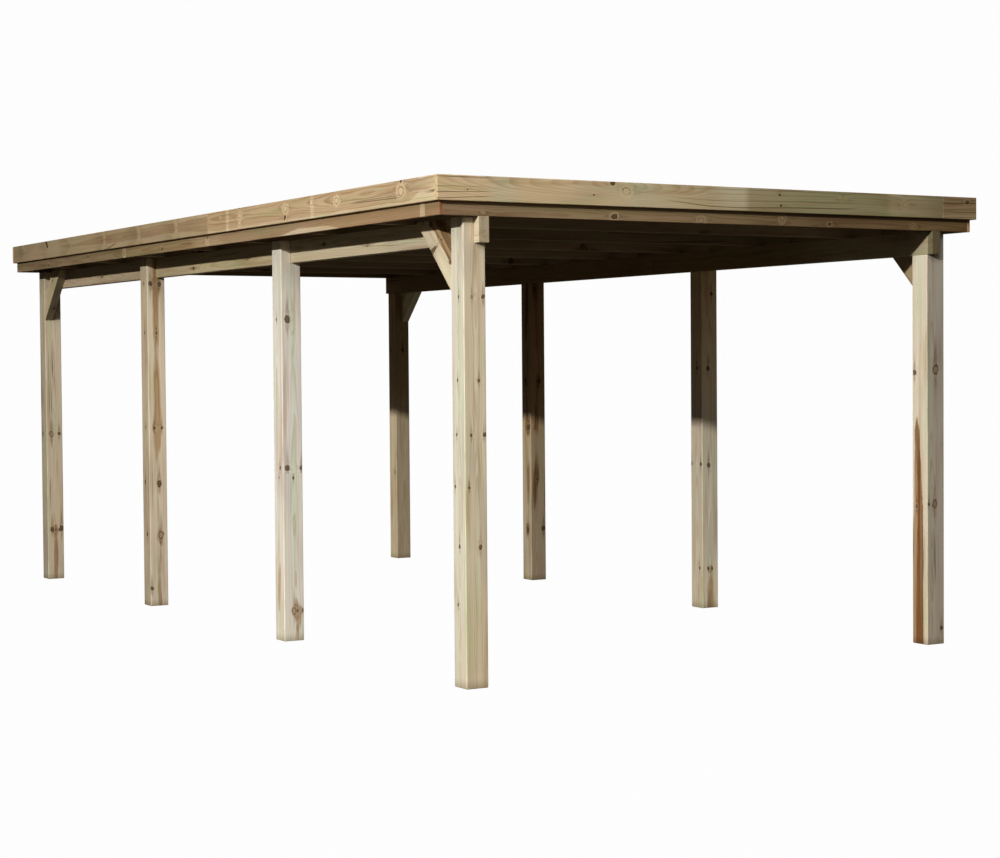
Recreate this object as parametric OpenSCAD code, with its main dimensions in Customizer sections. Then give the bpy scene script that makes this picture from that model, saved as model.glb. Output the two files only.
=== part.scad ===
// Flat-roofed timber carport: two rows of square posts, a beam let into the
// top of each row, knee braces at the corners, joists across the beams and a
// boarded roof inside a two-step fascia. Millimetres, +Z up. The origin is at
// floor level in the middle of the plan, the drive-in front faces -Y.

/* [Posts] */
// Side of the square post section
post_s = 115; // [95:1:140]
// Posts in each row
posts_per_row = 4; // [3:1:5]
// Distance from one post centre to the next along a row
post_pitch = 2000; // [1500:10:2600]
// Width over the outer faces of the two rows
row_w = 2875; // [2200:5:3600]
// Height from the floor to the underside of the beams
clear_h = 2036; // [1800:1:2600]

/* [Beams] */
// Thickness of a beam, which is also the depth of the notch in each post
beam_t = 57; // [40:1:70]
// Height of a beam
beam_h = 120; // [90:1:180]
// How far a beam's end stands out past the end posts
beam_nose = 40; // [0:1:40]
// How far behind the second post the inner leaf of the beam's lap ends
beam_lap = 393; // [150:1:700]

/* [Braces] */
// Thickness of a knee brace
brace_t = 57; // [30:1:57]
// Width of a knee brace, seen from the side
brace_w = 120; // [70:1:150]
// Reach of a brace along the beam and down the post
brace_reach = 340; // [250:5:600]

/* [Joists] */
// Number of joists between the end rims
joist_count = 7; // [3:1:10]
// Clear gap between each end rim and the joist next to it
joist_edge = 658; // [200:1:900]
// Thickness of a joist
joist_t = 45; // [30:1:80]
// Height of a joist
joist_h = 95; // [70:1:140]

/* [Roof] */
// Overhang of the fascia past the posts' outer faces, at each side
eave_side = 168; // [100:1:400]
// Overhang of the fascia past the end posts, at front and back
eave_end = 65; // [45:1:400]
// Thickness of the rim boards that close the joist ends
rim_t = 18; // [15:1:30]
// Length of the front board of each side rim
rim_board = 2500; // [1500:10:3900]
// Thickness of the roof boards
deck_t = 18; // [12:1:28]
// Thickness of the roofing felt
felt_t = 3; // [2:0.5:6]
// How far below the top of the fascia the felt's turned-up edge stops
felt_gap = 16; // [0:1:30]

/* [Fascia] */
// Thickness of the fascia boards
fascia_t = 24; // [18:1:30]
// Height of the fascia boards
fascia_h = 115; // [90:1:160]
// Height of rim board left showing below the fascia
rim_show = 64; // [30:1:80]
// Length of the short piece that finishes the front and back fascia
end_piece = 231; // [100:1:1500]
// Length of the front board of each side fascia
side_board = 2646; // [1500:10:3900]

/* [Hidden] */
rows = ["left", "right"];
ends = ["front", "back"];

// Heights, from the floor up
seat_z = clear_h + beam_h;
deck_z = seat_z + joist_h;
rim_h = joist_h + deck_t;
fascia_z = seat_z + rim_show;

// Lengths along the rows, and the roof's outline
row_l = (posts_per_row - 1) * post_pitch + post_s;
roof_w = row_w + 2 * eave_side;
roof_l = row_l + 2 * eave_end;
rim_w = roof_w - 2 * fascia_t;
rim_l = roof_l - 2 * fascia_t;
inner_w = rim_w - 2 * rim_t;
inner_l = rim_l - 2 * rim_t;
beam_l = row_l + 2 * beam_nose;
joist_pitch = (inner_l - joist_t - 2 * joist_edge) / (joist_count - 1);

// Where the leaves of each beam's lap end, measured from the beam's front end
outer_lap_y = beam_nose + post_pitch + post_s / 2;
inner_lap_y = beam_nose + post_pitch + post_s + beam_lap;

post_names = [for (r = rows) for (i = [1 : posts_per_row]) str(r, "_post_", i)];
beam_names = [for (r = rows) for (e = ends) str(r, "_beam_", e)];
brace_names = [for (r = rows) for (e = ends) str(r, "_brace_", e)];
joist_names = [for (i = [1 : joist_count]) str("joist_", i)];
rim_names = [for (r = rows) for (e = ends) str(r, "_rim_", e)];
fascia_names = [for (r = rows) for (e = ends) str(r, "_fascia_", e)];
end_names = [for (e = ends) for (p = ["rim", "fascia_long", "fascia_short"]) str(e, "_", p)];

function post_y(i) = -row_l / 2 + (i - 1) * post_pitch;
function joist_y(i) = -inner_l / 2 + joist_edge + (i - 1) * joist_pitch;

// Everything at the sides is drawn for the left row and mirrored for the right
module in_row(r) {
    mirror([r == "right" ? 1 : 0, 0, 0]) children();
}

// Everything at the ends is drawn for the front and mirrored for the back
module at_end(e) {
    mirror([0, e == "back" ? 1 : 0, 0]) children();
}

// A box with its lowest corner at p
module block(p, size) {
    translate(p) cube(size);
}

// A square post with a notch on its inner side, where the beam sits
module post(i) {
    x0 = -row_w / 2;
    color("burlywood") difference() {
        block([x0, post_y(i), 0], [post_s, post_s, seat_z]);
        block([x0 + post_s - beam_t, post_y(i) - 1, clear_h],
              [beam_t + 1, post_s + 2, beam_h + 1]);
    }
}

// One length of beam: the two lengths of a row are lapped in half their thickness
module beam(e) {
    x0 = -row_w / 2 + post_s - beam_t;
    y0 = -beam_l / 2;
    leaf = beam_t / 2;
    outer = e == "front" ? [0, outer_lap_y] : [outer_lap_y, beam_l];
    inner = e == "front" ? [0, inner_lap_y] : [inner_lap_y, beam_l];
    color("tan") union() {
        block([x0, y0 + outer[0], clear_h], [leaf, outer[1] - outer[0], beam_h]);
        block([x0 + leaf, y0 + inner[0], clear_h], [leaf, inner[1] - inner[0], beam_h]);
    }
}

// A knee brace from an end post up to the roof, against the beam's outer face
module brace() {
    x0 = -row_w / 2 + post_s - beam_t - brace_t;
    y0 = -row_l / 2 + post_s;
    cut = brace_w * sqrt(2);
    outline = [
        [0, seat_z - brace_reach],
        [brace_reach, seat_z],
        [brace_reach - cut, seat_z],
        [0, seat_z - brace_reach + cut],
    ];
    color("wheat") translate([x0, y0, 0]) rotate([90, 0, 90])
        linear_extrude(brace_t) polygon(outline);
}

// A joist across both beams, from side rim to side rim
module joist(i) {
    color("peru") block([-inner_w / 2, joist_y(i), seat_z], [inner_w, joist_t, joist_h]);
}

// One board of a side rim
module side_rim(e) {
    span = e == "front" ? [0, rim_board] : [rim_board, rim_l];
    color("tan") block([-rim_w / 2, -rim_l / 2 + span[0], seat_z],
                       [rim_t, span[1] - span[0], rim_h]);
}

// The rim board across an end, between the side rims
module end_rim() {
    color("tan") block([-inner_w / 2, -rim_l / 2, seat_z], [inner_w, rim_t, rim_h]);
}

// One board of a side fascia, between the front and back fascias
module side_fascia(e) {
    span = e == "front" ? [0, side_board] : [side_board, rim_l];
    color("burlywood") block([-roof_w / 2, -rim_l / 2 + span[0], fascia_z],
                             [fascia_t, span[1] - span[0], fascia_h]);
}

// The fascia across an end: a long board and the short piece that finishes it
module end_fascia(piece) {
    cut = roof_w - end_piece;
    span = piece == "long" ? [0, cut] : [cut, roof_w];
    color("burlywood") block([-roof_w / 2 + span[0], -roof_l / 2, fascia_z],
                             [span[1] - span[0], fascia_t, fascia_h]);
}

// The boarded roof, on the joists and inside the rims
module roof_deck() {
    color("peru") block([-inner_w / 2, -inner_l / 2, deck_z], [inner_w, inner_l, deck_t]);
}

// The felt, over the boards and rims and turned up inside the fascia
module roof_felt() {
    z0 = deck_z + deck_t;
    tray_h = fascia_z + fascia_h - felt_gap - z0;
    color("dimgray") difference() {
        block([-rim_w / 2, -rim_l / 2, z0], [rim_w, rim_l, tray_h]);
        block([-rim_w / 2 + felt_t, -rim_l / 2 + felt_t, z0 + felt_t],
              [rim_w - 2 * felt_t, rim_l - 2 * felt_t, tray_h]);
    }
}

for (r = rows) {
    for (i = [1 : posts_per_row]) {
        in_row(r) post(i);
    }
    for (e = ends) {
        in_row(r) beam(e);
        in_row(r) at_end(e) brace();
        in_row(r) side_rim(e);
        in_row(r) side_fascia(e);
    }
}
for (i = [1 : joist_count]) {
    joist(i);
}
for (e = ends) {
    at_end(e) end_rim();
    at_end(e) end_fascia("long");
    at_end(e) end_fascia("short");
}
roof_deck();
roof_felt();
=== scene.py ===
"""Looks of a flat-roofed timber carport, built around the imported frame.

Every length of timber is sawn, eased and marked with its own grain, so that one
solid-wood shader can carry the rings, knots and end grain through it. Metres, +Z up,
the drive-in front faces -Y.
"""

import logging
import math
import random
from dataclasses import dataclass, field
from enum import Enum
from typing import Iterable, Iterator, Sequence

import bmesh
import bpy
from mathutils import Matrix, Vector


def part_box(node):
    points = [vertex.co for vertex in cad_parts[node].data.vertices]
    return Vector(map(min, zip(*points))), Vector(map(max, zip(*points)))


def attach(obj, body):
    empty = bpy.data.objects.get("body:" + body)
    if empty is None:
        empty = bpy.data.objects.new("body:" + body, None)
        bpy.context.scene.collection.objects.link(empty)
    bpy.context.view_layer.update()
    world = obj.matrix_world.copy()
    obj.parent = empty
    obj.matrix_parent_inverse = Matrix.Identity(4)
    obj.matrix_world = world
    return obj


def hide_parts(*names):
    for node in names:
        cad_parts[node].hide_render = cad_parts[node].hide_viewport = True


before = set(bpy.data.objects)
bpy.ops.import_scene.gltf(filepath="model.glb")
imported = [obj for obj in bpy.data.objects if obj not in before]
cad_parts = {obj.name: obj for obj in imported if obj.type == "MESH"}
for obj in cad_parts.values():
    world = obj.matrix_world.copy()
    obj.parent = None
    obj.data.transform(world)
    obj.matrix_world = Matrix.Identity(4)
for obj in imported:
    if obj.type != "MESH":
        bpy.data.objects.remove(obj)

LOG = logging.getLogger("carport")
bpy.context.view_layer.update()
BODY = "root"

# Points nearer than this are one, in metres
MERGE = 1e-6
# A face belongs to a side if its normal has at least this share along that side's own
SQUARE = 0.9
# The sharpest turn, in radians, that is left as it is on a board
SHARP = 0.5

Colour = tuple[float, float, float]
Socket = bpy.types.NodeSocket
Mesh = bmesh.types.BMesh
Number = float | Socket
UP = Vector((0.0, 0.0, 1.0))


class Run(Enum):
    """The way the grain of a board runs, then across it and through it."""

    X = (Vector((1, 0, 0)), Vector((0, 1, 0)), Vector((0, 0, 1)))
    Y = (Vector((0, 1, 0)), Vector((1, 0, 0)), Vector((0, 0, 1)))
    Z = (Vector((0, 0, 1)), Vector((1, 0, 0)), Vector((0, 1, 0)))


class Place(Enum):
    """A side of the plan: -1 on the low side of an axis, 1 on the high side."""

    @property
    def word(self) -> str:
        """Its name in the frame's nodes."""
        return self.name.lower()


class Row(Place):
    """The two rows of posts."""

    LEFT = -1
    RIGHT = 1


class End(Place):
    """The drive-in end and the far end."""

    FRONT = -1
    BACK = 1


# ---------------------------------------------------------------- shader bench


class Bench:
    """Adds shader nodes to one tree and joins them.

    Args:
        tree: The node tree to work in.
    """

    def __init__(self, tree: bpy.types.NodeTree) -> None:
        """Keeps the tree."""
        self.tree = tree

    def add(self, kind: str, **settings: object) -> bpy.types.Node:
        """Adds a node.

        Args:
            kind: The node's type, without its ShaderNode prefix.
            **settings: Values for the node's own properties.

        Returns:
            The node.
        """
        node = self.tree.nodes.new("ShaderNode" + kind)
        for name, value in settings.items():
            setattr(node, name, value)
        return node

    def feed(self, socket: Socket, value: object) -> None:
        """Links a socket into an input, or sets the input's value."""
        if isinstance(value, Socket):
            self.tree.links.new(value, socket)
        else:
            socket.default_value = value

    def math(self, operation: str, *values: Number, clamp: bool = False) -> Socket:
        """Adds a Math node.

        Args:
            operation: The node's operation.
            *values: Its inputs, as numbers or sockets.
            clamp: Whether the result is held between 0 and 1.

        Returns:
            The result's socket.
        """
        node = self.add("Math", operation=operation, use_clamp=clamp)
        for socket, value in zip(node.inputs, values):
            self.feed(socket, value)
        return node.outputs[0]

    def plus(self, one: Number, two: Number) -> Socket:
        """Adds two numbers."""
        return self.math("ADD", one, two)

    def minus(self, one: Number, two: Number) -> Socket:
        """Takes the second number from the first."""
        return self.math("SUBTRACT", one, two)

    def times(self, one: Number, two: Number, clamp: bool = False) -> Socket:
        """Multiplies two numbers, and holds the result between 0 and 1 if it is to be clamped."""
        return self.math("MULTIPLY", one, two, clamp=clamp)

    def over(self, one: Number, two: Number) -> Socket:
        """Divides the first number by the second."""
        return self.math("DIVIDE", one, two)

    def vector(self, operation: str, *values: object, scale: Number | None = None) -> Socket:
        """Adds a Vector Math node.

        Args:
            operation: The node's operation.
            *values: Its vector inputs.
            scale: The factor of a SCALE operation.

        Returns:
            The result's socket: a number for LENGTH and DOT_PRODUCT.
        """
        node = self.add("VectorMath", operation=operation)
        for socket, value in zip(node.inputs, values):
            self.feed(socket, value)
        if scale is not None:
            self.feed(node.inputs["Scale"], scale)
        return node.outputs["Value" if operation in ("LENGTH", "DOT_PRODUCT") else "Vector"]

    def join(self, x: Number, y: Number, z: Number) -> Socket:
        """Makes a vector of three numbers."""
        node = self.add("CombineXYZ")
        for socket, value in zip(node.inputs, (x, y, z)):
            self.feed(socket, value)
        return node.outputs[0]

    def split(self, vector: Socket) -> tuple[Socket, ...]:
        """Takes a vector apart into three numbers."""
        node = self.add("SeparateXYZ")
        self.feed(node.inputs[0], vector)
        return tuple(node.outputs)

    def ease(self, value: Number, low: float, high: float, start: float = 0.0, end: float = 1.0) -> Socket:
        """Maps a number smoothly from one range to another.

        Args:
            value: The number.
            low: Where the result begins to leave its start value.
            high: Where the result reaches its end value.
            start: The result at and below the low value.
            end: The result at and above the high value.

        Returns:
            The result's socket.
        """
        node = self.add("MapRange", interpolation_type="SMOOTHSTEP")
        for socket, number in zip(node.inputs, (value, low, high, start, end)):
            self.feed(socket, number)
        return node.outputs[0]

    def noise(self, vector: Socket, scale: float = 1.0, detail: float = 2.0,
              colour: bool = False) -> Socket:
        """Adds a Noise texture.

        Args:
            vector: The place to read it at.
            scale: Its scale.
            detail: Its octaves.
            colour: Whether three different noises are wanted, as a colour.

        Returns:
            The noise's socket, 0 to 1.
        """
        node = self.add("TexNoise")
        self.feed(node.inputs["Vector"], vector)
        node.inputs["Scale"].default_value = scale
        node.inputs["Detail"].default_value = detail
        return node.outputs[1 if colour else 0]

    def blend(self, factor: Number, first: object, second: object, kind: str = "MIX") -> Socket:
        """Mixes two colours.

        Args:
            factor: How much of the second.
            first: The first colour, as a socket or three numbers.
            second: The second colour.
            kind: The blend type.

        Returns:
            The mixed colour's socket.
        """
        node = self.add("Mix", data_type="RGBA", blend_type=kind, clamp_factor=True)
        for socket, value in zip((node.inputs[0], node.inputs[6], node.inputs[7]), (factor, first, second)):
            self.feed(socket, (*value, 1.0) if isinstance(value, tuple) and len(value) == 3 else value)
        return node.outputs[2]

    def tinge(self, factor: Number, first: object, second: object) -> Socket:
        """Multiplies a colour by a second one, as far as the factor says."""
        return self.blend(factor, first, second, "MULTIPLY")

    def shade(self, colour: object, value: Socket) -> Socket:
        """Multiplies a colour by a number."""
        return self.tinge(1.0, colour, self.join(value, value, value))

    def bump(self, height: Number, strength: float, distance: float) -> Socket:
        """Turns a height into a normal.

        Args:
            height: The height, 0 to 1 or so.
            strength: How much of it shows.
            distance: The depth that a height of 1 stands for, in metres.

        Returns:
            The normal's socket.
        """
        node = self.add("Bump")
        for name, value in (("Strength", strength), ("Distance", distance), ("Height", height)):
            self.feed(node.inputs[name], value)
        return node.outputs[0]

    def surface(self, inputs: dict[str, object]) -> None:
        """Ends a material in one principled surface, from its inputs by name."""
        shader = self.add("BsdfPrincipled")
        for name, value in inputs.items():
            self.feed(shader.inputs[name], value)
        self.feed(self.add("OutputMaterial").inputs[0], shader.outputs[0])

    def mark(self, name: str) -> bpy.types.Node:
        """Reads one of the marks that a board's mesh carries."""
        return self.add("Attribute", attribute_name=name, attribute_type="GEOMETRY")


def new_material(name: str) -> tuple[bpy.types.Material, Bench]:
    """Starts a material with no nodes, and gives it with its bench."""
    material = bpy.data.materials.new(name)
    material.use_nodes = True
    material.node_tree.nodes.clear()
    return material, Bench(material.node_tree)


def new_group(name: str, inputs: Sequence[tuple[str, str]], outputs: Sequence[str]) -> tuple:
    """Starts a shader node group.

    Args:
        name: The group's name.
        inputs: A name and a kind, Float or Vector, for each input.
        outputs: The names of its outputs, all floats.

    Returns:
        The group, its bench, its input node and its output node.
    """
    group = bpy.data.node_groups.new(name, "ShaderNodeTree")
    for label, kind in inputs:
        group.interface.new_socket(label, in_out="INPUT", socket_type="NodeSocket" + kind)
    for label in outputs:
        group.interface.new_socket(label, in_out="OUTPUT", socket_type="NodeSocketFloat")
    bench = Bench(group)
    return group, bench, group.nodes.new("NodeGroupInput"), group.nodes.new("NodeGroupOutput")


class KnotField:
    """One branch through the wood: a cone from the tree's centre outwards.

    Its inputs are the place in the board (along, across, through, from the tree's
    centre line) and the knot (where it leaves the centre, its angle, its radius).
    """

    NAME = "knot_field"
    STRETCH = 0.70
    TAPER = 0.03
    ABOVE, BELOW, BESIDE = 8.0, 5.5, 1.15

    @classmethod
    def group(cls) -> bpy.types.NodeTree:
        """Makes the node group, or finds it.

        Returns:
            The group, with outputs for the distance in knot radii, how far the rings
            are lifted round the knot, the stain that trails from it, and how pale it is.
        """
        found = bpy.data.node_groups.get(cls.NAME)
        if found:
            return found
        group, b, given, made = new_group(
            cls.NAME, [("grain", "Vector"), ("knot", "Vector"), ("ruffle", "Float"), ("rise", "Float")],
            ["distance", "lift", "trail", "pale"])
        start, angle, signed = b.split(given.outputs["knot"])
        radius = b.math("ABSOLUTE", signed)
        axis = b.vector("NORMALIZE", b.join(given.outputs["rise"], b.math("COSINE", angle),
                                            b.math("SINE", angle)))
        place = b.vector("SUBTRACT", given.outputs["grain"], b.join(start, 0.0, 0.0))
        reach = b.vector("DOT_PRODUCT", place, axis)
        off = b.vector("SUBTRACT", place, b.vector("SCALE", axis, scale=reach))
        squashed = b.vector("LENGTH", b.vector("MULTIPLY", off, (cls.STRETCH, 1.0, 1.0)))
        begun = b.ease(reach, 0.0, cls.TAPER)
        size = b.math("MAXIMUM", b.times(radius, begun), 0.0001)
        distance = b.over(b.times(squashed, given.outputs["ruffle"]), size)
        b.feed(made.inputs["distance"], distance)
        fall = b.math("EXPONENT", b.times(b.math("POWER", b.over(distance, 2.3), 2.0), -1.0))
        b.feed(made.inputs["lift"], b.times(b.times(size, 1.25), fall))
        flank = b.vector("DOT_PRODUCT", place, b.join(0.0, b.math("SINE", angle),
                                                      b.times(b.math("COSINE", angle), -1.0)))
        side = b.over(flank, b.times(size, cls.BESIDE))
        ahead = b.over(b.split(off)[0], size)
        ahead = b.math("MAXIMUM", b.over(ahead, cls.ABOVE), b.over(ahead, -cls.BELOW))
        narrow = b.plus(1.0, b.times(ahead, 1.2))
        side = b.times(side, narrow)
        trail = b.math("EXPONENT", b.times(b.plus(b.math("POWER", side, 2.0),
                                                              b.math("POWER", ahead, 2.0)), -1.0))
        b.feed(made.inputs["trail"], b.times(b.times(trail, 1.9, clamp=True), begun))
        sound = b.math("LESS_THAN", signed, 0.0)
        b.feed(made.inputs["pale"], b.times(sound, b.ease(distance, 1.3, 1.8, 1.0, 0.0)))
        return group


class SolidPine:
    """Pine as a solid: rings round the tree's centre line, knots, checks and fibre."""

    NAME = "solid_pine"
    OUTPUTS = ("late", "core", "heart_of_knot", "knot_rings", "pale", "outline", "halo", "trail", "heartwood",
               "streak", "stain", "salts", "fibre", "blotch", "check", "height")

    @classmethod
    def group(cls) -> bpy.types.NodeTree:
        """Makes the node group, or finds it.

        Returns:
            The group. It reads the marks "grain", "board", "rise" and "knot_1" to "knot_3".
        """
        found = bpy.data.node_groups.get(cls.NAME)
        if found:
            return found
        group, b, _, made = new_group(cls.NAME, [], cls.OUTPUTS)
        grain = b.mark("grain").outputs["Vector"]
        ring_width, heart_radius, seed = b.split(b.mark("board").outputs["Vector"])
        odd = b.join(seed, b.times(seed, 1.7), b.times(seed, 2.3))

        def along(stretch: Colour, detail: float = 2.0, colour: bool = False) -> Socket:
            """Noise drawn out by different amounts along, across and through the board."""
            return b.noise(b.vector("ADD", b.vector("MULTIPLY", grain, stretch), odd), 1.0, detail, colour)

        ruffle = b.plus(0.42, b.times(along((55.0, 90.0, 90.0), 3.0), 1.16))
        rise = b.mark("rise").outputs["Fac"]
        fields = []
        for name in ("knot_1", "knot_2", "knot_3"):
            node = b.tree.nodes.new("ShaderNodeGroup")
            node.node_tree = KnotField.group()
            b.feed(node.inputs["grain"], grain)
            b.feed(node.inputs["knot"], b.mark(name).outputs["Vector"])
            b.feed(node.inputs["ruffle"], ruffle)
            b.feed(node.inputs["rise"], rise)
            fields.append(node)
        near, lift, trail, pale = (
            b.math(kind, b.math(kind, *(node.outputs[i] for node in fields[:2])), fields[2].outputs[i])
            for i, kind in enumerate(("MINIMUM", "ADD", "MAXIMUM", "MAXIMUM")))

        wander = b.vector("MULTIPLY", b.vector("SUBTRACT", along((0.9, 0.0, 0.0), 1.0, True),
                                               (0.5, 0.5, 0.5)),
                          (0.0, 0.03, 0.03))
        s, a, t = b.split(b.vector("ADD", grain, wander))
        radius = b.vector("LENGTH", b.join(0.0, a, t))
        waves = b.times(b.minus(along((3.0, 16.0, 16.0), 2.0), 0.5), 0.011)
        grown = b.minus(b.plus(b.plus(radius, waves), b.times(s, 0.007)), lift)
        years = b.over(grown, ring_width)
        lean = b.times(b.noise(b.join(b.times(years, 0.45), seed, 0.0), 1.0, 1.0), 1.6)
        years = b.plus(years, lean)
        part = b.math("FRACT", years)
        late = b.times(b.ease(part, 0.35, 0.9), b.ease(part, 0.93, 1.0, 1.0, 0.0))
        ring = b.add("TexWhiteNoise", noise_dimensions="2D")
        b.feed(ring.inputs["Vector"], b.join(b.math("FLOOR", years), seed, 0.0))
        strength = b.plus(0.45, b.times(ring.outputs[0], 0.55))
        outside = b.ease(near, 0.8, 1.05)
        late = b.times(b.times(late, strength), outside)

        core = b.ease(near, 0.82, 1.0, 1.0, 0.0)
        cracks = b.ease(b.math("ABSOLUTE", b.minus(along((120.0, 190.0, 190.0), 1.0), 0.5)), 0.0, 0.05, 1.0,
                        0.0)
        heart_of_knot = b.math("MAXIMUM", b.ease(near, 0.0, 0.3, 0.7, 0.0),
                               b.times(cracks, b.ease(near, 0.5, 0.85, 0.8, 0.0)))
        turned = b.math("FRACT", b.times(near, 4.0))
        knot_rings = b.times(b.ease(turned, 0.4, 0.9), b.ease(turned, 0.92, 1.0, 1.0, 0.0))
        outline = b.times(b.ease(near, 0.55, 0.85), b.ease(near, 1.05, 1.45, 1.0, 0.0))
        halo = b.times(b.ease(near, 1.0, 1.3), b.ease(near, 1.6, 2.6, 1.0, 0.0))
        heart_edge = b.plus(grown, b.times(b.minus(along((2.4, 16.0, 16.0), 4.0), 0.5), 0.026))
        heartwood = b.ease(b.minus(heart_edge, heart_radius), -0.004, 0.002, 1.0, 0.0)

        streak = along((0.8, 55.0, 55.0), 3.0)
        trail = b.times(trail, b.ease(along((7.0, 170.0, 170.0), 3.0), 0.34, 0.6, 0.25, 1.0))
        stain, salts, _ = b.split(along((1.7, 24.0, 24.0), 3.0, True))
        fibre = along((9.0, 620.0, 620.0), 2.0)
        blotch = along((1.1, 5.0, 5.0), 2.0)
        angle = b.math("ARCTAN2", t, a)
        split_at = b.noise(b.join(b.times(angle, 2.2), b.times(s, 0.22), seed), 1.0, 1.0)
        split_on = b.ease(along((1.6, 0.0, 0.0), 0.0), 0.56, 0.66)
        line = b.ease(b.math("ABSOLUTE", b.minus(split_at, 0.5)), 0.003, 0.012, 1.0, 0.0)
        check = b.times(b.times(line, split_on), outside)

        height = b.plus(b.times(late, 0.45), b.times(fibre, 0.4))
        height = b.minus(height, b.times(check, 2.2))
        height = b.plus(height, b.times(core, 0.5))
        height = b.minus(height, b.times(outline, 0.6))
        for name, value in zip(cls.OUTPUTS, (late, core, heart_of_knot, knot_rings, pale, outline, halo,
                                             trail,
                                              heartwood, streak, stain, salts, fibre, blotch, check, height)):
            b.feed(made.inputs[name], value)
        return group


# -------------------------------------------------------------------- finishes


@dataclass(frozen=True)
class PineFinish:
    """Pressure-treated pine. Colours are shares of each board's own tint.

    Args:
        name: The material's name.
        slot: The record's material slot.
        late: The dark summer wood of each ring.
        heart: The wood near the tree's centre.
        resin: What resin adds to it, on boards that have some.
        knot: A dark knot's body.
        sound: A light knot's body.
        knot_heart: The middle of a knot.
        outline: The ring of bark round a knot.
        bark: How much of that ring a light knot has.
        halo: How much paler the wood just round a knot is.
        trail: How strongly a knot stains the wood above and below it.
        trailed: What such a stain does to the colour.
        broad: What the broad streaks along the grain do to the colour.
        stain: The brown of long stains in the wood.
        stained: How strong those stains are.
        green: What the treatment's salts do to a patch.
        grey: What weather does to a patch.
        end: What a cut end does to the colour.
        contrast: How strongly the rings show.
        foot: How dark the grime at the very foot is.
        split: The colour inside a drying crack.
        turned: What a knot's own rings do to its colour.
        pale_ring: The colour that the wood just round a knot tends to.
        grime: What dirt does to the very foot.
        roughness: How matt it is.
        relief: The depth of the grain's relief, in metres.
    """

    name: str
    slot: str
    late: Colour = (0.70, 0.59, 0.47)
    heart: Colour = (0.80, 0.64, 0.48)
    resin: Colour = (0.42, 0.27, 0.155)
    knot: Colour = (0.25, 0.17, 0.112)
    sound: Colour = (0.60, 0.47, 0.34)
    knot_heart: Colour = (0.09, 0.065, 0.045)
    outline: Colour = (0.075, 0.052, 0.036)
    bark: float = 0.9
    halo: float = 0.2
    trail: float = 0.75
    trailed: Colour = (0.36, 0.25, 0.16)
    broad: Colour = (0.86, 0.79, 0.70)
    stain: Colour = (0.70, 0.56, 0.43)
    stained: float = 0.6
    green: Colour = (0.86, 0.98, 0.86)
    grey: Colour = (0.88, 0.88, 0.90)
    end: Colour = (0.74, 0.70, 0.64)
    contrast: float = 0.6
    foot: float = 0.0
    split: Colour = (0.20, 0.15, 0.11)
    turned: Colour = (0.62, 0.55, 0.48)
    pale_ring: Colour = (1.10, 1.05, 0.96)
    grime: Colour = (0.55, 0.5, 0.42)
    roughness: float = 0.72
    relief: float = 0.0006

    def wood_colour(self, b: Bench, out: bpy.types.bpy_prop_collection) -> Socket:
        """Colours the clear wood between the knots.

        Args:
            b: The material's bench.
            out: The solid wood's outputs.

        Returns:
            The colour's socket.
        """
        rings = b.times(out["late"], b.plus(self.contrast, b.times(out["heartwood"], 0.25)))
        colour = b.blend(rings, (1.0, 1.0, 1.0), self.late)
        wide = b.ease(out["streak"], 0.3, 0.72)
        colour = b.tinge(b.times(wide, 0.5), colour, self.broad)
        colour = b.tinge(b.ease(out["stain"], 0.5, 0.72, 0.0, self.stained), colour, self.stain)
        colour = b.tinge(b.ease(out["salts"], 0.5, 0.7), colour, self.green)
        colour = b.tinge(b.ease(out["blotch"], 0.32, 0.46, 1.0, 0.0), colour, self.grey)
        colour = b.tinge(out["heartwood"], colour, self.heart)
        resin = b.times(b.mark("resin").outputs["Fac"], b.ease(out["streak"], 0.38, 0.56, 0.3, 1.0))
        colour = b.tinge(b.times(out["heartwood"], resin), colour, self.resin)
        return b.tinge(b.times(out["trail"], self.trail), colour, self.trailed)

    def knot_colour(self, b: Bench, out: bpy.types.bpy_prop_collection, colour: Socket) -> Socket:
        """Lays the knots over the clear wood.

        Args:
            b: The material's bench.
            out: The solid wood's outputs.
            colour: The clear wood's colour.

        Returns:
            The colour's socket.
        """
        colour = b.blend(b.times(out["halo"], self.halo), colour, self.pale_ring)
        bark = b.minus(0.95, b.times(out["pale"], 0.95 * (1.0 - self.bark)))
        colour = b.blend(b.times(out["outline"], bark), colour, self.outline)
        body = b.blend(out["pale"], self.knot, self.sound)
        body = b.tinge(b.times(out["knot_rings"], 0.7), body, self.turned)
        colour = b.blend(out["core"], colour, body)
        dark = b.times(out["heart_of_knot"], b.minus(0.85, b.times(out["pale"], 0.5)))
        return b.blend(dark, colour, self.knot_heart)

    def make(self) -> bpy.types.Material:
        """Makes the material."""
        material, b = new_material(self.name)
        wood = b.tree.nodes.new("ShaderNodeGroup")
        wood.node_tree = SolidPine.group()
        out = wood.outputs
        colour = self.knot_colour(b, out, self.wood_colour(b, out))
        colour = b.blend(b.times(out["check"], 0.8), colour, self.split)
        colour = b.shade(colour, b.plus(0.93, b.times(out["fibre"], 0.14)))
        colour = b.tinge(b.mark("end").outputs["Fac"], colour, self.end)
        # Painted light and shade by face direction, and a painted highlight on eased edges.
        colour = b.tinge(1.0, colour, b.mark("side").outputs["Color"])
        if self.foot:
            s = b.split(b.mark("grain").outputs["Vector"])[0]
            grime = b.times(b.ease(s, 0.0, 0.05, 1.0, 0.0), self.foot)
            colour = b.tinge(grime, colour, self.grime)
        colour = b.tinge(1.0, colour, b.mark("tint").outputs["Color"])

        matt = b.plus(self.roughness, b.times(out["late"], -0.12))
        b.surface({"Base Color": colour, "Roughness": b.plus(matt, b.times(out["fibre"], 0.08)),
                   "Specular IOR Level": 0.35, "Normal": b.bump(out["height"], 0.6, self.relief)})
        return material


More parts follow.
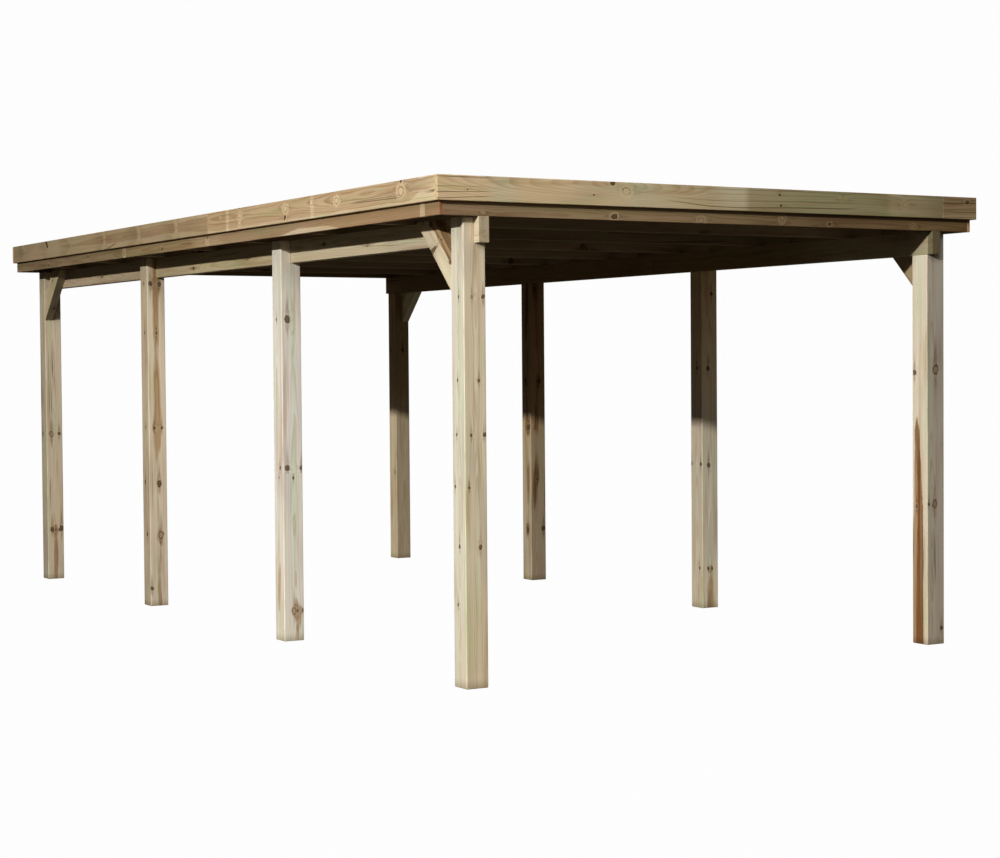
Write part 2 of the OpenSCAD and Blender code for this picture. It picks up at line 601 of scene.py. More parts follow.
@dataclass(frozen=True)
class FeltFinish:
    """Mineral-surfaced bitumen felt.

    Args:
        name: The material's name.
        slot: The record's material slot.
        stone: The colour of the granules.
        bitumen: The colour of what shows between them, and of the beads along the laps.
        patch: What weather does to whole patches of it.
        dust: The colour of the dust that lies on it.
        relief: The depth of the granules, in metres.
    """

    name: str = "mineral_felt"
    slot: str = "roofing_felt"
    stone: Colour = (0.085, 0.098, 0.094)
    bitumen: Colour = (0.018, 0.019, 0.020)
    patch: Colour = (0.72, 0.74, 0.70)
    dust: Colour = (0.12, 0.118, 0.105)
    relief: float = 0.0009

    def make(self) -> bpy.types.Material:
        """Makes the material."""
        material, b = new_material(self.name)
        place = b.add("TexCoord").outputs["Object"]
        grit = b.add("TexVoronoi", feature="F1")
        b.feed(grit.inputs["Vector"], place)
        grit.inputs["Scale"].default_value = 480.0
        grain = b.ease(grit.outputs["Distance"], 0.2, 0.75, 1.0, 0.0)
        each = b.split(grit.outputs["Color"])[0]
        patch = b.noise(place, 1.7, 4.0)
        worn = b.noise(place, 11.0, 3.0)
        stone = b.shade(self.stone, b.plus(0.62, b.times(each, 0.75)))
        stone = b.tinge(b.ease(patch, 0.4, 0.66), stone, self.patch)
        sheet = b.mark("sheet").outputs["Fac"]
        stone = b.shade(stone, sheet)
        colour = b.blend(grain, self.bitumen, stone)
        colour = b.blend(b.ease(worn, 0.52, 0.80, 0.0, 0.4), colour, self.dust)
        colour = b.blend(b.ease(sheet, 0.05, 0.15, 1.0, 0.0), colour, self.bitumen)
        height = b.plus(grain, b.times(worn, 0.6))
        b.surface({"Base Color": colour, "Roughness": b.plus(0.82, b.times(worn, 0.14)),
                   "Specular IOR Level": 0.3, "Normal": b.bump(height, 0.7, self.relief)})
        return material


@dataclass(frozen=True)
class SteelFinish:
    """Dull zinc-plated steel of the screws.

    Args:
        name: The material's name.
        zinc: The plating's colour.
        tarnish: The colour where it has dulled.
    """

    name: str = "plated_steel"
    zinc: Colour = (0.16, 0.15, 0.14)
    tarnish: Colour = (0.05, 0.042, 0.035)

    def make(self) -> bpy.types.Material:
        """Makes the material."""
        material, b = new_material(self.name)
        place = b.add("TexCoord").outputs["Object"]
        dull = b.ease(b.noise(place, 260.0, 3.0), 0.4, 0.62)
        b.surface({"Base Color": b.blend(dull, self.zinc, self.tarnish),
                   "Metallic": b.minus(0.9, b.times(dull, 0.5)),
                   "Roughness": b.plus(0.42, b.times(dull, 0.3))})
        return material


# ---------------------------------------------------------------------- timber


def block(middle: Vector, size: Vector, turn: Matrix = Matrix.Identity(4)) -> Mesh:
    """Makes a box.

    Args:
        middle: Its middle.
        size: Its three sizes.
        turn: How it is turned about its middle.

    Returns:
        A new bmesh.
    """
    bm = bmesh.new()
    place = Matrix.Translation(middle) @ turn @ Matrix.Diagonal((*size, 1.0))
    bmesh.ops.create_cube(bm, size=1.0, matrix=place)
    return bm


def slice_mesh(bm: Mesh, point: Sequence[float], normal: Sequence[float],
               faces: Sequence[bmesh.types.BMFace] = (), clear: bool = False) -> None:
    """Cuts edges into a mesh where a plane crosses it.

    Args:
        bm: The mesh.
        point: A point of the plane.
        normal: The plane's normal.
        faces: The faces to cut, or none for all of them.
        clear: Whether what lies beyond the plane is taken away.
    """
    if faces:
        geometry = [part for face in faces for part in (face, *face.edges, *face.verts)]
    else:
        geometry = [*bm.verts, *bm.edges, *bm.faces]
    bmesh.ops.bisect_plane(bm, geom=geometry, dist=MERGE, plane_co=point, plane_no=normal, clear_outer=clear)


def round_edges(bm: Mesh, edges: Sequence[bmesh.types.BMEdge], radius: float, steps: int) -> None:
    """Rounds edges.

    Args:
        bm: The mesh.
        edges: The edges.
        radius: The radius, in metres.
        steps: The faces across each rounded edge.
    """
    bmesh.ops.bevel(bm, geom=edges, offset=radius, offset_type="OFFSET", affect="EDGES", segments=steps,
                    profile=0.5, material=-1, clamp_overlap=True)


def outer_edges(bm: Mesh, angle: float) -> list[bmesh.types.BMEdge]:
    """Finds the edges that stand out at more than an angle, in radians."""
    return [e for e in bm.edges if len(e.link_faces) == 2 and e.calc_face_angle_signed() > angle]


@dataclass(frozen=True)
class Whorl:
    """A level of the tree where branches left it.

    Args:
        at: Its height along the board, in metres from the board's low end.
        knots: An angle in degrees and a radius in metres for each branch, at most
            three. The angle is from the board's across direction to its through one.
            A radius below zero is a sound, light knot.
    """

    at: float
    knots: tuple[tuple[float, float], ...]


def levels(*rows: tuple) -> tuple[Whorl, ...]:
    """Makes whorls from rows of a height and its knots, each an angle and a radius in millimetres."""
    return tuple(Whorl(at, tuple((angle, radius / 1000.0) for angle, radius in knots)) for at, *knots in rows)


@dataclass(frozen=True)
class Along:
    """A value that changes along a board, straight from one stop to the next.

    Args:
        stops: A distance from the board's low end, and the value there, for each stop.
    """

    stops: tuple[tuple[float, tuple[float, ...]], ...]

    def at(self, s: float) -> Vector:
        """The value at a distance along the board.

        Args:
            s: The distance, in metres.

        Returns:
            The value.
        """
        before, after = self.stops[0], self.stops[-1]
        for stop in self.stops:
            if stop[0] <= s:
                before = stop
            else:
                after = stop
                break
        span = after[0] - before[0]
        share = min(max((s - before[0]) / span, 0.0), 1.0) if span > 1e-9 else 0.0
        return Vector(before[1]).lerp(Vector(after[1]), share)


def ramp(*rows: tuple[float, ...]) -> Along:
    """Makes a changing value from rows of a distance and the value there, of one to three numbers."""
    return Along(tuple((s, (*value, 0.0) if len(value) == 1 else tuple(value)) for s, *value in rows))


def even(*value: float) -> Along:
    """A value that is the same all along a board."""
    return ramp((0.0, *value))


@dataclass(frozen=True)
class Stock:
    """What one board is sawn from.

    Args:
        seed: A number that no other board has.
        pith: Where the tree's centre runs, across and through, from the middle of
            the board's section, in metres.
        tint: The board's colour along its length.
        ring: The width of a year's ring, in metres.
        heart: The radius of the heartwood along the board, in metres.
        whorls: The levels of its knots.
        front: What the face on the low side, through the board, does to the colour: that face's own colour
            and painted light and shade.
        rise: How steeply the branches climb away from the tree's centre.
        resin: How much resin darkens the heartwood, 0 to 1.
    """

    seed: float
    pith: Along
    tint: Along
    ring: float = 0.0042
    heart: Along = even(0.0)
    whorls: tuple[Whorl, ...] = ()
    front: Colour = (1.0, 1.0, 1.0)
    rise: float = 0.3
    resin: float = 0.0


@dataclass(frozen=True)
class Lot:
    """A lot of like boards, from which single ones are drawn by number.

    Args:
        tints: The colours that the boards range over.
        pith: How far, across and through, the tree's centre lies from a section's middle.
        spread: How far that varies, across and through.
        ring: The usual width of a ring.
        heart: The usual radius of the heartwood.
        gap: The least and greatest distance between whorls.
        radius: The least and greatest radius of a knot.
        per_whorl: The least and greatest number of knots in a whorl.
        aim: The angles that knots may point to, in degrees, or none for all round.
    """

    tints: tuple[Colour, ...]
    pith: tuple[float, float]
    spread: tuple[float, float]
    ring: float = 0.0045
    heart: float = 0.0
    gap: tuple[float, float] = (0.28, 0.55)
    radius: tuple[float, float] = (0.004, 0.010)
    per_whorl: tuple[int, int] = (1, 3)
    aim: tuple[float, ...] = ()

    def draw(self, number: int, length: float) -> Stock:
        """Draws one board.

        Args:
            number: The board's own number, which decides everything about it.
            length: The board's length, in metres.

        Returns:
            What the board is sawn from.
        """
        luck = random.Random(number)
        pick = luck.choice(self.tints)
        shade = luck.uniform(0.93, 1.07)
        near = tuple(c * shade * luck.uniform(0.98, 1.02) for c in pick)
        shade = luck.uniform(0.94, 1.06)
        far = tuple(c * shade for c in near)
        flip = luck.choice((-1.0, 1.0))
        pith = even(self.pith[0] * flip + luck.uniform(-1, 1) * self.spread[0],
                    self.pith[1] * flip + luck.uniform(-1, 1) * self.spread[1])
        whorls, at = [], luck.uniform(0.05, self.gap[1])
        while at < length - 0.02:
            count = luck.randint(*self.per_whorl)
            first = luck.uniform(0.0, 360.0)
            knots = []
            for i in range(count):
                angle = luck.choice(self.aim) + luck.uniform(-9, 9) if self.aim else first + 360.0 * i / count
                knots.append((angle + luck.uniform(-12.0, 12.0),
                              luck.uniform(*self.radius) * luck.choice((1, 1, -1))))
            whorls.append(Whorl(at, tuple(knots)))
            at += luck.uniform(*self.gap)
        return Stock(seed=number * 3.37 % 97.0, pith=pith, tint=Along(((0.0, near), (length, far))),
                     ring=self.ring * luck.uniform(0.8,
                                                   1.25), heart=even(self.heart * luck.uniform(0.6, 1.2)),
                     whorls=tuple(whorls))


@dataclass
class Timber:
    """A straight board, from its box.

    Args:
        low: The box's lowest corner.
        high: The box's highest corner.
        run: The way its grain runs.
        stock: What it is sawn from.
        ease: The radius of its eased edges.
        steps: The faces across an eased edge.
        edge_highlight: How much paler the eased edges are: a painted highlight.
    """

    low: Vector
    high: Vector
    run: Run
    stock: Stock
    ease: float = 0.003
    steps: int = 2
    # Painted highlight: the eased edges are made paler.
    edge_highlight: float = 1.10

    def axes(self) -> tuple[Vector, Vector, Vector]:
        """The board's directions along, across and through."""
        return self.run.value

    def origin(self) -> Vector:
        """The point of the board's centre line that its lengths are counted from."""
        along = self.axes()[0]
        middle = (self.low + self.high) / 2
        return middle - along * ((self.high - self.low).dot(along) / 2)

    def length(self) -> float:
        """The board's length."""
        return (self.high - self.low).dot(self.axes()[0])

    def blank(self) -> Mesh:
        """Cuts the square-edged board, as a new bmesh."""
        return block((self.low + self.high) / 2, self.high - self.low)

    def ease_edges(self, bm: Mesh) -> None:
        """Rounds the outer edges of the board."""
        bm.normal_update()
        round_edges(bm, outer_edges(bm, SHARP), self.ease, self.steps)

    def make(self) -> Mesh:
        """Cuts, eases and marks the board.

        Returns:
            A new bmesh.
        """
        bm = self.blank()
        self.ease_edges(bm)
        self.mark(bm)
        return bm

    def mark(self, bm: Mesh) -> None:
        """Cuts the mesh between whorls and writes the wood's marks on it.

        Args:
            bm: The board.
        """
        along, across, through = self.axes()
        stock, start, length = self.stock, self.origin(), self.length()
        whorls = sorted(stock.whorls, key=lambda whorl: whorl.at)
        bands = [(one.at + two.at) / 2 for one, two in zip(whorls, whorls[1:])]
        changing = (stock.tint, stock.heart, stock.pith)
        stops = [s for values in changing for s, _ in values.stops if 0.002 < s < length - 0.002]
        for cut in sorted({*bands, *stops}):
            slice_mesh(bm, start + along * cut, along)
        bm.normal_update()
        grain = bm.verts.layers.float_vector.new("grain")
        board = bm.verts.layers.float_vector.new("board")
        tint = bm.verts.layers.float_vector.new("tint")
        for vert in bm.verts:
            off = vert.co - start
            s = off.dot(along)
            pith = stock.pith.at(s)
            vert[grain] = Vector((s, off.dot(across) - pith[0], off.dot(through) - pith[1]))
            vert[board] = Vector((stock.ring, stock.heart.at(s)[0], stock.seed))
            vert[tint] = stock.tint.at(s)
        end = bm.faces.layers.float.new("end")
        rise = bm.faces.layers.float.new("rise")
        resin = bm.faces.layers.float.new("resin")
        side = bm.faces.layers.float_vector.new("side")
        slots = [bm.faces.layers.float_vector.new(f"knot_{i}") for i in (1, 2, 3)]
        for face in bm.faces:
            face[end] = 1.0 if abs(face.normal.dot(along)) > SQUARE else 0.0
            face[rise] = stock.rise
            face[resin] = stock.resin
            # Painted light and shade by face direction, and a painted highlight on eased edges.
            face[side] = self.painted_side_light(face.normal, (along, across, through))
            s = (face.calc_center_median() - start).dot(along)
            band = sum(1 for cut in bands if cut < s)
            knots = whorls[band].knots if whorls else ()
            for i, layer in enumerate(slots):
                angle, radius = knots[i] if i < len(knots) else (0.0, 0.0)
                at = whorls[band].at - self.knot_rise() if whorls else 0.0
                face[layer] = Vector((at, math.radians(angle), radius))

    def knot_rise(self) -> float:
        """How far a branch climbs from the tree's centre to the board's surface."""
        return self.stock.rise * min(self.high - self.low) / 2

    def painted_side_light(self, normal: Vector, axes: Sequence[Vector]) -> Vector:
        """Finds what a face's own direction does to its colour: painted light and shade by direction, and a
        painted highlight on eased edges.

        Args:
            normal: The face's normal.
            axes: The board's directions.

        Returns:
            The colour to multiply by.
        """
        facing = max(-normal.dot(axes[2]), 0.0) ** 2
        colour = Vector(1.0 + (shade - 1.0) * facing for shade in self.stock.front)
        flat = max(abs(normal.dot(axis)) for axis in axes)
        return colour * (self.edge_highlight if flat < 0.98 else 1.0)


@dataclass
class Post(Timber):
    """A post with a tongue that stands up behind its beam.

    Args:
        split: Where the tongue's inner face is, across the post.
        seat: The height of the beam's seat.
    """

    split: float = 0.0
    seat: float = 0.0

    def blank(self) -> Mesh:
        """Cuts the post and draws its tongue up from the seat.

        Returns:
            A new bmesh.
        """
        shaft_top = Vector((self.high.x, self.high.y, self.seat))
        bm = block((self.low + shaft_top) / 2, shaft_top - self.low)
        top = max(bm.faces, key=lambda f: f.calc_center_median().z)
        slice_mesh(bm, (self.split, 0, 0), (1, 0, 0), [top])
        leaves = [f for f in bm.faces if f.normal.z > SQUARE]
        tongue = max(leaves, key=lambda f: abs(f.calc_center_median().x))
        grow(bm, tongue, UP * (self.high.z - self.seat))
        return bm


def grow(bm: Mesh, face: bmesh.types.BMFace, move: Vector) -> None:
    """Draws a face out into a solid and melts the flat seams that it leaves.

    Args:
        bm: The mesh.
        face: The face to draw out.
        move: How far, and which way.
    """
    grown = bmesh.ops.extrude_face_region(bm, geom=[face])
    bmesh.ops.delete(bm, geom=[face], context="FACES_ONLY")
    bmesh.ops.translate(bm, vec=move, verts=[g for g in grown["geom"] if isinstance(g, bmesh.types.BMVert)])
    bmesh.ops.dissolve_limit(bm, angle_limit=0.002, verts=bm.verts[:], edges=bm.edges[:])
    bmesh.ops.recalc_face_normals(bm, faces=bm.faces[:])


@dataclass
class LappedBeam(Timber):
    """A beam that ends in a leaf of half its thickness, lapped on the next one.

    Args:
        shoulder: Where along the row the full section ends.
        leaf_side: 1 where the leaf is on the +X half, -1 on the -X half.
    """

    shoulder: float = 0.0
    leaf_side: int = 1

    def blank(self) -> Mesh:
        """Cuts the full section and draws its leaf out to the lap's end.

        Returns:
            A new bmesh.
        """
        leads = abs(self.high.y - self.shoulder) < abs(self.low.y - self.shoulder)
        low, high = self.low.copy(), self.high.copy()
        tip = high.y if leads else low.y
        if leads:
            high.y = self.shoulder
        else:
            low.y = self.shoulder
        bm = block((low + high) / 2, high - low)
        toward = 1.0 if leads else -1.0
        face = max(bm.faces, key=lambda f: f.calc_center_median().y * toward)
        slice_mesh(bm, (low + high) / 2, (1, 0, 0), [face])
        halves = [f for f in bm.faces if f.normal.y * toward > SQUARE]
        leaf = max(halves, key=lambda f: f.calc_center_median().x * self.leaf_side)
        grow(bm, leaf, Vector((0.0, tip - self.shoulder, 0.0)))
        return bm


@dataclass
class Brace(Timber):
    """A knee brace at 45 degrees, cut plumb at the post and level at the top.

    Args:
        width: Its width, seen from the side.
        lean: 1 where it leans towards +Y as it rises, -1 towards -Y.
    """

    width: float = 0.120
    lean: int = 1

    def axes(self) -> tuple[Vector, Vector, Vector]:
        """The brace's directions along, across and through."""
        return (Vector((0, self.lean, 1)).normalized(), Vector((1, 0, 0)),
                Vector((0, -self.lean, 1)).normalized())

    def heel(self) -> Vector:
        """The lowest point of its lower edge, against the post."""
        return Vector(((self.low.x + self.high.x) / 2, self.low.y if self.lean > 0 else self.high.y,
                       self.low.z))

    def origin(self) -> Vector:
        """The point of its centre line that its lengths are counted from."""
        return self.heel() + self.axes()[2] * (self.width / 2)

    def length(self) -> float:
        """The length of its lower edge."""
        return (self.high.z - self.low.z) * math.sqrt(2.0)

    def blank(self) -> Mesh:
        """Cuts a long blank, then its plumb and level ends.

        Returns:
            A new bmesh.
        """
        along, across, through = self.axes()
        spare = 0.3
        turn = Matrix((across, through, along)).transposed().to_4x4()
        middle = self.origin() + along * (self.length() / 2)
        size = (self.high.x - self.low.x, self.width, self.length() + 2 * spare)
        bm = block(middle, size, turn)
        for point, normal in ((self.heel(), Vector((0, -self.lean, 0))), (self.high, UP)):
            slice_mesh(bm, point, normal, clear=True)
            bmesh.ops.holes_fill(bm, edges=[e for e in bm.edges if e.is_boundary], sides=0)
        bmesh.ops.recalc_face_normals(bm, faces=bm.faces[:])
        return bm


# ---------------------------------------------------------------------- pieces


def add_part(whole: Mesh, part: Mesh) -> None:
    """Puts a finished part into a larger mesh and frees it.

    Args:
        whole: The mesh to add to.
        part: The part.
    """
    spare = bpy.data.meshes.new("spare")
    part.to_mesh(spare)
    part.free()
    whole.from_mesh(spare)
    bpy.data.meshes.remove(spare)


def finish_piece(name: str, parts: Iterable[Mesh], material: bpy.types.Material, slot: str | None,
                 nodes: Sequence[str] = ()) -> bpy.types.Object:
    """Makes one piece of the object from its parts.

    Args:
        name: The piece's name.
        parts: Its finished meshes.
        material: Its finish.
        slot: The record's material slot, if it has one. Not used.
        nodes: The frame's nodes that it stands for.

    Returns:
        The piece.
    """
    mesh = bpy.data.meshes.new(name)
    parts = list(parts)
    whole, rest = parts[0], parts[1:]
    for part in rest:
        add_part(whole, part)
    whole.to_mesh(mesh)
    whole.free()
    mesh.materials.append(material)
    piece = bpy.data.objects.new(name, mesh)
    bpy.context.scene.collection.objects.link(piece)
    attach(piece, BODY)
    if nodes:
        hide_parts(*nodes)
    LOG.info("%s: %d faces", name, len(mesh.polygons))
    return piece


# Tints are linear colours. The boards that show most are given in full, by frame node, and the
# others are drawn by number from a lot.
CREAM = (0.76, 0.69, 0.52)
STRAW = (0.74, 0.63, 0.45)
RIM_LOT = Lot(((0.46, 0.36, 0.23), (0.42, 0.34, 0.22)), (0.045, 0.0), (0.01, 0.03), ring=0.0055, heart=0.07,
    gap=(0.35, 0.7), radius=(0.006, 0.012), aim=(180.0, 160.0, 200.0))
RIM_STOCK = {
    "left_rim_front": Stock(5.3, even(0.034, 0.03), ramp((0.0, 0.53, 0.4, 0.26), (0.14, 0.53, 0.4, 0.26),
        (0.2, 0.6, 0.45, 0.29), (1.0, 0.58, 0.45, 0.29), (1.6, 0.58, 0.47, 0.34), (2.5, 0.52, 0.42, 0.29)),
        0.006, ramp((0.0, 0.12), (0.135, 0.12), (0.14, 0.0), (0.18, 0.0), (0.185, 0.12), (0.95, 0.115),
        (1.15, 0.088), (1.5, 0.084), (1.75, 0.115)), levels((0.17, (148, 9)), (0.6, (178, -12), (-160, 7)),
        (1.0, (186, -9)), (1.75, (168, 8)), (2.2, (-170, 8)))),
    "left_rim_back": Stock(7.9, even(0.03, -0.03), ramp((0.0, 0.58, 0.49, 0.34), (0.3, 0.58, 0.49, 0.34),
        (0.5, 0.42, 0.35, 0.21), (1.5, 0.34, 0.28, 0.165), (1.6, 0.3, 0.25, 0.155),
        (3.7, 0.27, 0.22, 0.15)), 0.006, ramp((0.0, 0.075), (0.1, 0.055), (0.3, 0.055), (0.5, 0.09),
        (1.51, 0.12), (1.52, 0.0), (1.56, 0.0), (1.57, 0.12)), levels((0.2, (180, -11), (150, 6)),
        (0.9, (-170, 9)), (1.54, (178, -12)), (2.2, (165, 9)), (3.0, (190, 9)))),
    "front_rim": Stock(13.7, even(0.03, -0.04), ramp((0.0, 0.5, 0.395, 0.265), (0.9, 0.48, 0.38, 0.25),
        (1.4, 0.38, 0.3, 0.19), (2.2, 0.26, 0.19, 0.098), (3.1, 0.205, 0.145, 0.065)), 0.006,
        ramp((0.0, 0.09), (0.9, 0.082), (1.4, 0.076), (3.1, 0.1)), levels((0.2, (180, -5)),
        (0.91, (178, 10), (-140, -6)), (1.41, (-176, -11)), (1.9, (180, -6), (150, -9)), (2.2, (180, 7)),
        (2.75, (175, -9)))),
}
FASCIA_LOT = Lot(((0.46, 0.36, 0.22), (0.41, 0.33, 0.2), (0.36, 0.3, 0.18)), (0.05, 0.0), (0.01, 0.03),
    ring=0.0055, heart=0.075, gap=(0.35, 0.7), radius=(0.006, 0.014), aim=(180.0, 160.0, 200.0))
FASCIA_STOCK = {
    "left_fascia_front": Stock(17.3, even(0.046, 0.024), ramp((0.0, 0.72, 0.6, 0.41),
        (0.22, 0.7, 0.58, 0.4), (0.3, 0.66, 0.54, 0.37), (1.26, 0.66, 0.54, 0.37), (1.27, 0.78, 0.68, 0.5),
        (1.3, 0.78, 0.68, 0.5), (1.31, 0.62, 0.5, 0.34), (2.34, 0.58, 0.46, 0.31), (2.35, 0.72, 0.62, 0.45),
        (2.38, 0.72, 0.62, 0.45), (2.39, 0.54, 0.43, 0.28)), 0.006, ramp((0.0, 0.06), (0.14, 0.062),
        (0.24, 0.088), (0.9, 0.084), (1.2, 0.098), (2.65, 0.11)), levels((0.05,),
        (0.31, (197, -17), (150, 8)), (0.99, (194, -13)), (1.28, (180, -4), (120, -5), (-120, -5)),
        (1.59, (193, -14), (-136, 8)), (2.18, (190, -12), (-140, -8), (150, 6)),
        (2.45, (180, -4), (-120, -5)))),
    "left_fascia_back": Stock(19.1, even(-0.01, 0.004), ramp((0.0, 0.44, 0.35, 0.22),
        (0.25, 0.37, 0.29, 0.18), (0.7, 0.37, 0.285, 0.18), (1.2, 0.315, 0.25, 0.15),
        (1.9, 0.31, 0.235, 0.14), (2.3, 0.27, 0.215, 0.125), (3.0, 0.25, 0.185, 0.11),
        (3.55, 0.21, 0.165, 0.095)), 0.0055, ramp((0.0, 0.045), (0.4, 0.03), (1.5, 0.04), (2.6, 0.02)),
        levels((0.46, (92, -11), (-90, -12)), (1.06, (90, -13), (-88, -12)), (1.67, (88, -12), (-93, -10)),
        (2.33, (91, -13), (-90, -11)), (2.8, (100, 11), (-80, -11)), (3.3, (90, -10))), rise=0.9),
    "front_fascia_long": Stock(29.9, ramp((0.0, 0.085, 0.046), (0.9, 0.034, 0.042), (1.5, 0.06, 0.05),
        (3.0, 0.05, 0.06)), ramp((0.0, 0.74, 0.56, 0.34), (0.26, 0.7, 0.54, 0.34), (0.33, 0.62, 0.54, 0.36),
        (0.45, 0.67, 0.52, 0.32), (0.9, 0.63, 0.49, 0.3), (1.08, 0.54, 0.48, 0.31), (1.3, 0.52, 0.42, 0.25),
        (1.5, 0.46, 0.37, 0.22), (1.62, 0.48, 0.42, 0.28), (1.7, 0.48, 0.42, 0.28),
        (1.74, 0.34, 0.275, 0.16), (2.1, 0.27, 0.24, 0.13), (2.6, 0.245, 0.215, 0.115),
        (2.64, 0.31, 0.255, 0.15), (2.78, 0.27, 0.225, 0.13), (2.95, 0.2, 0.165, 0.09)), 0.0065, even(0.0),
        levels((0.13, (-150, 3)), (0.815, (-134, 3)), (0.925, (172, 8)), (1.0, (-150, -13)),
        (1.9, (-160, 5), (-132, 4)), (2.3, (-150, -8)), (2.7, (-140, -9)))),
    "front_fascia_short": Stock(37.1, even(0.05, 0.02), even(0.27, 0.205, 0.115), 0.006, even(0.08),
        levels((0.15, (170, 8)))),
}
BEAM_STOCK = {
    "left_beam_front": Stock(83.3, even(0.07, 0.01), ramp((0.0, 0.66, 0.58, 0.43), (1.0, 0.6, 0.53, 0.37),
        (2.5, 0.52, 0.44, 0.3)), 0.0045, even(0.0), levels((0.45, (170, 8)), (1.1, (-168, -8)),
        (1.6, (175, 7)), (2.2, (190, 9)))),
    "left_beam_back": Stock(89.9, even(0.07, -0.02), ramp((0.0, 0.46, 0.38, 0.24), (1.2, 0.45, 0.38, 0.23),
        (1.6, 0.38, 0.31, 0.2), (3.6, 0.38, 0.31, 0.22)), 0.0045, even(0.0), levels((0.5, (175, -8)),
        (1.3, (185, 9)), (2.1, (170, -9)), (2.9, (178, 7)))),
    # The right beams' dark tints are painted shade: the first 36 mm of the front beam, its nose in front of
    # the post, the front beam's far part, and the whole back beam.
    "right_beam_front": Stock(91.1, even(-0.07, 0.01), ramp((0.0, 0.15, 0.125, 0.07),
        (0.03, 0.17, 0.14, 0.08), (0.036, 0.38, 0.33, 0.22), (0.3, 0.4, 0.33, 0.22),
        (0.7, 0.47, 0.38, 0.25), (1.2, 0.33, 0.23, 0.11), (2.5, 0.26, 0.17, 0.075)), 0.0045, even(0.0),
        levels((0.12, (175, 6)), (0.9, (178, 12)), (1.5, (184, 12)), (2.2, (170, 11)))),
    "right_beam_back": Stock(97.7, even(-0.07, -0.02), even(0.27, 0.175, 0.08), 0.0045, even(0.0),
        levels((0.5, (175, 10)), (1.3, (185, 11)), (2.1, (170, 9)), (2.9, (178, 10)))),
}
# The roof boards' and joists' tints are darkened as painted shade under the roof.
DECK_LOT = Lot(((0.42, 0.31, 0.2), (0.41, 0.295, 0.185), (0.33, 0.24, 0.15)), (0.01, 0.08), (0.03, 0.02),
    gap=(0.4, 0.8), radius=(0.004, 0.012))
JOIST_LOT = Lot(((0.46, 0.36, 0.24), (0.41, 0.33, 0.22), (0.35, 0.27, 0.175)), (0.05, 0.08), (0.03, 0.03),
    radius=(0.006, 0.014))
BRACE_LOT = Lot((STRAW, CREAM), (0.06, 0.01), (0.02, 0.02), gap=(0.14, 0.3), radius=(0.005, 0.01),
    per_whorl=(1, 2))
BRACE_STOCK = {
    "left_brace_front": Stock(41.9, even(-0.012, 0.062), even(0.74, 0.66, 0.49), 0.0035, ramp((0.0, 0.03),
        (0.2, 0.042), (0.4, 0.048), (0.5, 0.04)), levels((0.1, (-120, 6)), (0.24, (-95, 9), (-140, 5)),
        (0.36, (-120, 8)), (0.46, (-100, 10))), resin=0.8),
    "left_brace_back": Stock(47.3, even(0.05, 0.01), even(0.4, 0.33, 0.22), 0.0035, ramp((0.0, 0.03),
        (0.2, 0.042)), levels((0.1, (-120, 6)), (0.3, (180, 7)))),
    "right_brace_front": Stock(51.7, even(0.05, 0.01), even(0.36, 0.28, 0.17), 0.0035, even(0.0),
        levels((0.12, (170, 6)), (0.33, (190, 7)))),
}
